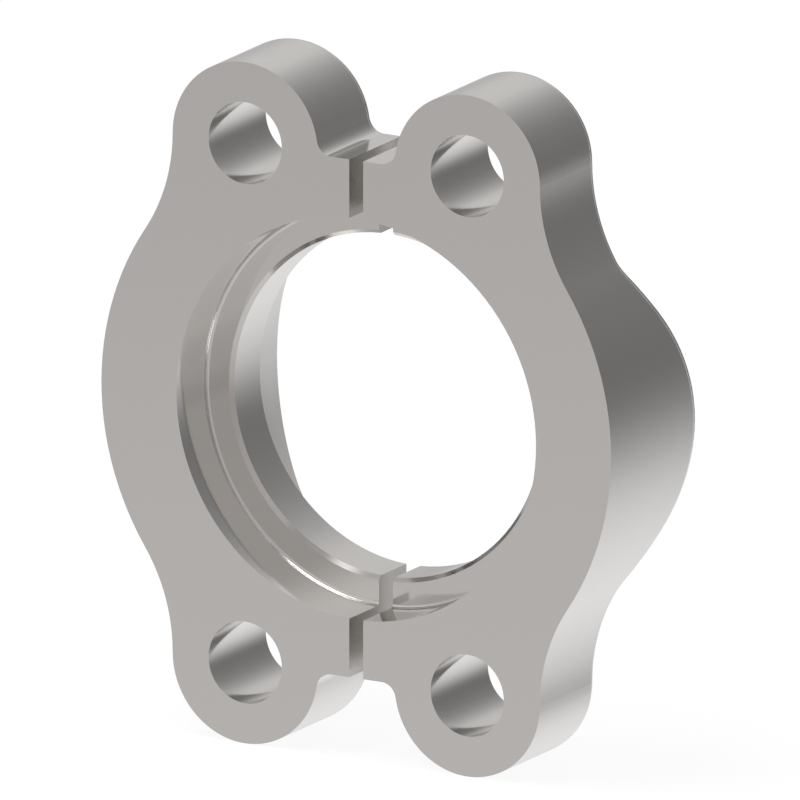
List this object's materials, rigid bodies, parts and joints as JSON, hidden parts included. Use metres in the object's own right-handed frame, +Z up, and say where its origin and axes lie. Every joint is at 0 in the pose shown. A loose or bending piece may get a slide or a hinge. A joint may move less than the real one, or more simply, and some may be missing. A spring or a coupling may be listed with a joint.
{
  "type": "split flange clamp",
  "caption": "Pair of half flanges with bolt ears and a stepped bore, which clamp a flanged pipe or hose end to a hydraulic port.",
  "frame": {"origin": "centre of the bolt pattern on the mating face, on the flow axis", "axes": "+Y along the flow axis from the mating face to the bolt seats, +Z up along the split and the long side of the pattern, +X towards the right half"},
  "size_m": [0.073, 0.022, 0.0874],
  "materials": {
    "right_half": "machined steel, satin",
    "left_half": "machined steel, satin"
  },
  "bodies": {
    "root": {"right_half": "right_half", "left_half": "left_half"}
  },
  "joints": []
}
